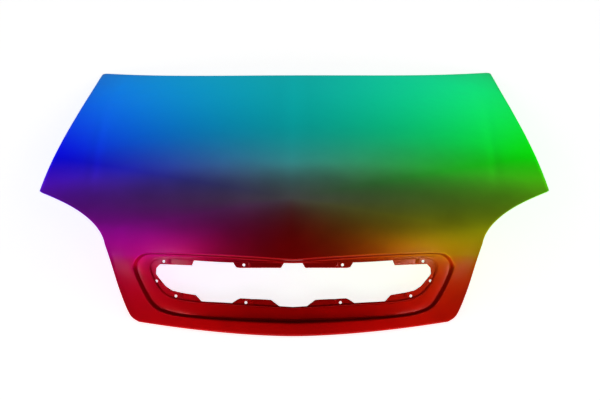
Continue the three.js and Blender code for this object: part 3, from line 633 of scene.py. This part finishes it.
# Aperture of the grille and its clip holes, right half, in millimetres
APERTURE = [
    (0, 893), (25, 893), (34, 908), (149, 908), (160, 906), (170, 889), (279, 885), (285, 900), (377, 896),
    (387, 907), (388, 924), (376, 939), (359, 959), (341, 971), (316, 977), (273, 984), (253, 1006),
    (179, 1012), (157, 997), (148, 993), (62, 997), (34, 1018), (0, 1021)]
CLIP_HOLES = [(138, 899), (366, 888), (386, 944), (330, 987), (132, 1005)]
APERTURE_HALF, APERTURE_FROM, APERTURE_TO = 0.42, 0.85, 1.05
FAR_AWAY, SLOT_SEARCH = 0.05, 0.08
HINGE_ALONG, LATCH_BEHIND = -0.010, 0.054
HINGE_SEAT = Vector((outline_half(HINGE_ALONG) - FRAME_INSET, HINGE_ALONG))
LATCH_SEAT = Vector((0, BASIN_REAR + LATCH_BEHIND))


def distance_to(points):
    tree = KDTree(len(points))
    for i, point in enumerate(points):
        tree.insert((point[0], point[1], 0), i)
    tree.balance()
    return lambda spot: tree.find((abs(spot.x), spot.y, 0))[2]


def to_segment(spot, a, b):
    run = b - a
    share = clamp((spot - a).dot(run) / (run.length_squared or 1), 0, 1)
    return (spot - a - run * share).length


def slot_between(middle, length, width, along):
    reach = along.normalized() * (length - width) / 2
    return middle - reach, middle + reach, width / 2


def panel_slots():
    """Drains and round holes, each a segment and the radius about it, for the right half."""
    across, down = Vector((1, 0)), Vector((0, 1))
    rib = RIB_FRONT - RIB_REAR
    slots = [slot_between(RIB_REAR + rib * share, RIB_DRAIN_LENGTH, DRAIN_WIDTH, rib) for share in RIB_DRAINS]
    drains = [(Vector((outline_half(s) - FRAME_INSET, s)), down) for s in SIDE_DRAINS]
    drains.append((Vector((REAR_DRAIN, rear_edge(REAR_DRAIN) + FRAME_INSET)), across))
    drains.append((Vector((CROSS_END.x * CROSS_DRAIN, CROSS_ALONG)), across))
    slots += [slot_between(middle, DRAIN_LENGTH, DRAIN_WIDTH, way) for middle, way in drains]
    slots += [slot_between(Vector(spot) / 1000, CLIP_HOLE, CLIP_HOLE, across) for spot in CLIP_HOLES]
    bolts = [HINGE_SEAT - down * HINGE_BOLT_OFFSET, HINGE_SEAT + down * HINGE_BOLT_OFFSET,
             LATCH_SEAT + across * LATCH_BOLT_OFFSET]
    return slots + [slot_between(bolt, BOLT_HOLE, BOLT_HOLE, across) for bolt in bolts]


def hole_finder():
    """The distance from a spot to the nearest hole, negative inside one."""
    slots = panel_slots()
    corners = [Vector(spot) / 1000 for spot in APERTURE]

    def outside_aperture(spot):
        if not (spot.x < APERTURE_HALF and APERTURE_FROM < spot.y < APERTURE_TO):
            return FAR_AWAY
        away, inside = 1.0, False
        for a, b in zip(corners, corners[1:]):
            away = min(away, to_segment(spot, a, b))
            if min(a.x, b.x) <= spot.x < max(a.x, b.x):
                inside ^= mix(a.y, b.y, (spot.x - a.x) / (b.x - a.x)) > spot.y
        return -away if inside else away

    def outside_holes(spot):
        near = [to_segment(spot, a, b) - radius for a, b, radius in slots
                if (spot - a).length < SLOT_SEARCH]
        return min(near + [outside_aperture(spot)])
    return outside_holes


def bead_finder():
    """A short pressed bead beside each clip hole, on the side towards the middle."""
    middles = [Vector(spot) / 1000 - Vector((BEAD_AWAY, 0)) for spot in CLIP_HOLES]
    half = Vector((0, BEAD_REACH))
    return lambda spot: min(to_segment(spot, middle - half, middle + half) for middle in middles)


def split_into_triangles(bm):
    bmesh.ops.triangulate(bm, faces=[face for face in bm.faces if len(face.verts) > 3])


def cut_level(bm, layer, level, reach=CUT_REACH):
    """Split the triangles along the line where the layer takes this value."""
    places = {}
    for edge in bm.edges:
        a, b = (vert[layer] - level for vert in edge.verts)
        if a * b < 0 and min(abs(a), abs(b)) > reach:
            places[edge] = a / (a - b)
    bmesh.ops.subdivide_edges(bm, edges=list(places), cuts=1, edge_percents=places)
    split_into_triangles(bm)


def refine_near(bm, layer, reach):
    """Halve the edges of the faces that lie this near to the layer's zero line."""
    edges = {edge for face in bm.faces for edge in face.edges
             if min(abs(vert[layer]) for vert in face.verts) < reach
             and edge.calc_length() > FINE_SHARE * PANEL_CELL}
    bmesh.ops.subdivide_edges(bm, edges=list(edges), cuts=1)
    split_into_triangles(bm)


def box_reach(spot, middle, halves):
    """The distance from a spot to a box, negative inside it."""
    over = Vector((abs(spot.x - middle.x) - halves[0], abs(spot.y - middle.y) - halves[1]))
    inner = max(over)
    return Vector((max(over.x, 0), max(over.y, 0))).length if inner > 0 else inner


def pressed(reach, half_floor, half_top):
    """How far a channel is pressed down, from 0 on the land to 1 at its floor."""
    return smooth((half_top + PRESS_RADIUS - reach) / (half_top - half_floor + 2 * PRESS_RADIUS))


def measure_panel(bm, layers):
    """Fill each layer with distances: to the channels' lines, the basin, the seats and the outline."""
    rear = edge_line(rear_edge, REAR_HALF, REAR_STEPS)
    lip = edge_line(lip_edge, LIP_HALF, LIP_STEPS)
    nose_side = [spot for spot in EAR_CURVE if spot.y > BASIN_REAR - NOSE_OVERLAP] + NOSE_CURVE
    to_frame = distance_to(rear + SIDE_CURVE + EAR_CURVE + NOSE_CURVE + lip)
    to_nose, to_lip = distance_to(nose_side), distance_to(lip)
    cross_start = Vector((-CROSS_PAST_MIDDLE, CROSS_ALONG))
    for vert in bm.verts:
        spot = vert.co.xy
        outside = (spot.x > sheet_half(spot.y) or spot.y < rear_edge(spot.x) or spot.y > lip_edge(spot.x))
        inside = -1 if outside else 1
        frame_away, nose_away, lip_away = (inside * reach(spot) for reach in (to_frame, to_nose, to_lip))
        vert[layers["frame"]] = frame_away - FRAME_INSET
        vert[layers["rib"]] = to_segment(spot, RIB_REAR, RIB_FRONT)
        vert[layers["cross"]] = to_segment(spot, cross_start, CROSS_END)
        vert[layers["basin"]] = min(spot.y - BASIN_REAR, nose_away - BASIN_INSET,
                                    (lip_away - BASIN_INSET) * BASIN_DRAFT / LIP_DRAFT)
        vert[layers["seat"]] = min(box_reach(spot, HINGE_SEAT, HINGE_SEAT_HALVES),
                                   box_reach(spot, LATCH_SEAT, LATCH_SEAT_HALVES))
        vert[layers["edge"]] = min(frame_away, nose_away, lip_away) - SKIN - RIM_GAP


def cut_panel(bm, layers, outside_holes, to_bead):
    """Cut the sheet along its bends, its outline and its holes, and take away what lies outside."""
    for half_floor, half_top, layer, ways in (
            (FRAME_FLOOR, FRAME_TOP, "frame", (-1, 1)), (RIB_FLOOR, RIB_TOP, "rib", (1,)),
            (RIB_FLOOR, RIB_TOP, "cross", (1,)), (-BASIN_DRAFT, 0, "basin", (-1,))):
        low, high = half_floor - PRESS_RADIUS, half_top + PRESS_RADIUS
        for share in LEVEL_SHARES:
            for way in ways:
                cut_level(bm, layers[layer], way * mix(low, high, share))
    for level in (0, SEAT_DROP):
        cut_level(bm, layers["seat"], level)
    hole, edge = layers["hole"], layers["edge"]
    for _ in range(2):
        for vert in bm.verts:
            vert[hole] = min(abs(outside_holes(vert.co.xy)), to_bead(vert.co.xy))
        refine_near(bm, hole, HOLE_REACH)
    for vert in bm.verts:
        covered = max(FRAME_TOP - vert[layers["frame"]], RIB_TOP - vert[layers["rib"]],
                      RIB_TOP - vert[layers["cross"]], vert[layers["basin"]]) + LAND_WIDTH
        vert[edge] = min(covered, vert[edge])
        vert[hole] = outside_holes(vert.co.xy)
    for layer in (edge, hole):
        cut_level(bm, layer, 0, OUTLINE_CUT_REACH)
        open_faces = [face for face in bm.faces if sum(vert[layer] for vert in face.verts) < 0]
        bmesh.ops.delete(bm, geom=open_faces, context="FACES")
    bmesh.ops.remove_doubles(bm, verts=bm.verts, dist=SLIVER)
    bmesh.ops.dissolve_degenerate(bm, edges=bm.edges, dist=SLIVER)
    split_into_triangles(bm)


def pressed_height(vert, layers, to_bead):
    """The height of the pressed sheet below the outer face."""
    frame_reach, basin_reach = vert[layers["frame"]], vert[layers["basin"]]
    on_rim = frame_reach < 0 or (vert.co.y > BASIN_REAR + BASIN_RIM and basin_reach < BASIN_RIM - BASIN_INSET)
    top = RIM_LEVEL if on_rim else LAND_LEVEL
    floors = [(CHANNEL_LEVEL, pressed(abs(frame_reach), FRAME_FLOOR, FRAME_TOP)),
              (CHANNEL_LEVEL, pressed(vert[layers["rib"]], RIB_FLOOR, RIB_TOP)),
              (CHANNEL_LEVEL, pressed(vert[layers["cross"]], RIB_FLOOR, RIB_TOP)),
              (BASIN_LEVEL, pressed(-basin_reach, -BASIN_DRAFT, 0))]
    height = min(mix(top, floor, share) for floor, share in floors)
    height -= SEAT_DROP * smooth(1 - vert[layers["seat"]] / SEAT_DROP)
    return height + BEAD_HEIGHT * smooth(1 - to_bead(vert.co.xy) / BEAD_HALF)


def make_inner_panel():
    bm = bmesh.new()
    columns, rows = round(PANEL_WIDTH / PANEL_CELL), round(PANEL_LENGTH / PANEL_CELL)
    grid_sheet(bm, columns, rows, lambda i, j: Vector((i * PANEL_CELL, j * PANEL_CELL + PANEL_START, 0)))
    bmesh.ops.triangulate(bm, faces=bm.faces)
    names = ("frame", "rib", "cross", "basin", "seat", "edge", "hole")
    layers = {name: bm.verts.layers.float.new(name) for name in names}
    to_bead = bead_finder()
    measure_panel(bm, layers)
    cut_panel(bm, layers, hole_finder(), to_bead)
    for vert in bm.verts:
        vert.co.z = pressed_height(vert, layers, to_bead)
    mirror_half(bm)
    for vert in bm.verts:
        vert.co = place(*vert.co)
    finish_sheet("inner_panel_sheet", bm, inner_paint, "inner_panel", PANEL)


make_inner_panel()

# Nodes of the model that keep their own shape

FINISHES = {"reinforcement": reinforcement_steel, "weld_nut": nut_steel, "mastic": mastic}
for name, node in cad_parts.items():
    for key, material in FINISHES.items():
        if key in name:
            for slot in node.material_slots:
                slot.material = material

# Lights, floor, tent and camera, all in metres and watts

LIGHTS = [
    # Name, place, aim, width, height, power
    ("front_low_light", (0, -3.7, 1.9), (0, -0.3, 0.1), 4.6, 0.8, 25),
    ("left_corner_light", (-1.85, -1.73, 1.87), (-0.48, -0.42, 0.1), 0.4, 0.06, 0.4),
    ("left_bracket_light", (-1.31, -1.86, 2.02), (-0.33, -0.41, 0.1), 0.4, 0.06, 1.6),
    ("right_corner_light", (1.80, -1.75, 1.89), (0.48, -0.42, 0.1), 0.4, 0.06, 0.4),
    ("right_bracket_light", (1.25, -1.88, 2.04), (0.33, -0.41, 0.1), 0.4, 0.06, 1.6)]
FLOOR_HALF, FLOOR_GLOW, FLOOR_ROUGHNESS, FLOOR_SPECULAR = 60, 0.75, 0.9, 0.1
FLOOR_TONES = (0.86, 0.86, 0.86, 1), (0.90, 0.90, 0.90, 1)
TENT_FOOT, TENT_FALL, TENT_GLOW, TENT_FRONT_DIM = 0.20, 4.4, 1.5, 0.35
WHITE = (1, 1, 1, 1)
CAMERA_SPOT, CAMERA_LENS, CAMERA_SENSOR = (0.0424, -2.2003, 2.1713), 58.32, 36
CAMERA_DOWN, CAMERA_SIDE, CAMERA_ROLL = radians(45.326), radians(-0.688), radians(-0.559)


def area_light(name, spot, target, width, height, power):
    light = bpy.data.lights.new(name, "AREA")
    light.shape = "RECTANGLE"
    light.size, light.size_y = width, height
    light.energy = power
    lamp = bpy.data.objects.new(name, light)
    lamp.location = spot
    lamp.rotation_euler = (Vector(target) - Vector(spot)).to_track_quat("-Z", "Y").to_euler()
    bpy.context.scene.collection.objects.link(lamp)


def make_floor():
    """A white floor that glows a little where it is seen, and is clear from below."""
    bm = bmesh.new()
    bmesh.ops.create_grid(bm, x_segments=4, y_segments=4, size=FLOOR_HALF)
    mesh = bpy.data.meshes.new("studio_floor")
    bm.to_mesh(mesh)
    bm.free()
    floor = bpy.data.objects.new("studio_floor", mesh)
    bpy.context.scene.collection.objects.link(floor)
    material, tree, shader = new_material("studio_floor")
    texture = group_node(tree, grain, {"Scale": 60.0, "Patch scale": 1.5})
    tree.links.new(blend_colors(tree, texture["Patches"], *FLOOR_TONES), shader["Base Color"])
    shader["Roughness"].default_value = FLOOR_ROUGHNESS
    shader["Specular IOR Level"].default_value = FLOOR_SPECULAR
    rays = add_node(tree, "ShaderNodeLightPath").outputs
    seen = compute(tree, "MAXIMUM", rays["Is Camera Ray"], rays["Is Glossy Ray"])
    seen = compute(tree, "MAXIMUM", seen, rays["Is Transmission Ray"])
    tree.links.new(compute(tree, "MULTIPLY", seen, FLOOR_GLOW), shader["Emission Strength"])
    shader["Emission Color"].default_value = WHITE
    clear = add_node(tree, "ShaderNodeBsdfTransparent").outputs["BSDF"]
    below = add_node(tree, "ShaderNodeNewGeometry").outputs["Backfacing"]
    mixed = add_node(tree, "ShaderNodeMixShader", {"Fac": below})
    tree.links.new(tree.nodes["Principled BSDF"].outputs["BSDF"], mixed.inputs[1])
    tree.links.new(clear, mixed.inputs[2])
    tree.links.new(mixed.outputs["Shader"], tree.nodes["Material Output"].inputs["Surface"])
    mesh.materials.append(material)


def make_world():
    """A pale tent all round, white at the horizon and dim overhead."""
    world = bpy.data.worlds.new("studio_tent")
    world.use_nodes = True
    tree = world.node_tree
    way = add_node(tree, "ShaderNodeTexCoord").outputs["Generated"]
    axis = add_node(tree, "ShaderNodeSeparateXYZ", {"Vector": way}).outputs
    ahead = compute(tree, "MAXIMUM", compute(tree, "MULTIPLY", axis["Y"], -TENT_FRONT_DIM), 0)
    fall = compute(tree, "SUBTRACT", TENT_FOOT, compute(tree, "ADD", axis["Z"], ahead))
    fall = compute(tree, "EXPONENT", compute(tree, "MULTIPLY", fall, TENT_FALL))
    glow = compute(tree, "MULTIPLY", compute(tree, "MINIMUM", fall, 1), TENT_GLOW)
    background = tree.nodes["Background"]
    background.inputs["Color"].default_value = WHITE
    tree.links.new(glow, background.inputs["Strength"])
    bpy.context.scene.world = world


def make_camera():
    """The camera of the photo: where it stands and how it is turned down, sideways and about its axis."""
    lens = bpy.data.cameras.new("photo_camera")
    lens.sensor_width, lens.lens = CAMERA_SENSOR, CAMERA_LENS
    camera = bpy.data.objects.new("photo_camera", lens)
    bpy.context.scene.collection.objects.link(camera)
    level = cos(CAMERA_DOWN)
    ahead = Vector((sin(CAMERA_SIDE) * level, cos(CAMERA_SIDE) * level, -sin(CAMERA_DOWN)))
    right = ahead.cross(Vector((0, 0, 1))).normalized()
    up = right.cross(ahead)
    turned_right = right * cos(CAMERA_ROLL) + up * sin(CAMERA_ROLL)
    turned_up = up * cos(CAMERA_ROLL) - right * sin(CAMERA_ROLL)
    turn = Matrix((turned_right, turned_up, -ahead)).transposed()
    camera.matrix_world = Matrix.Translation(CAMERA_SPOT) @ turn.to_4x4()
    bpy.context.scene.camera = camera


make_floor()
for light in LIGHTS:
    area_light(*light)
make_world()
make_camera()
bpy.context.scene.view_settings.view_transform = "Standard"
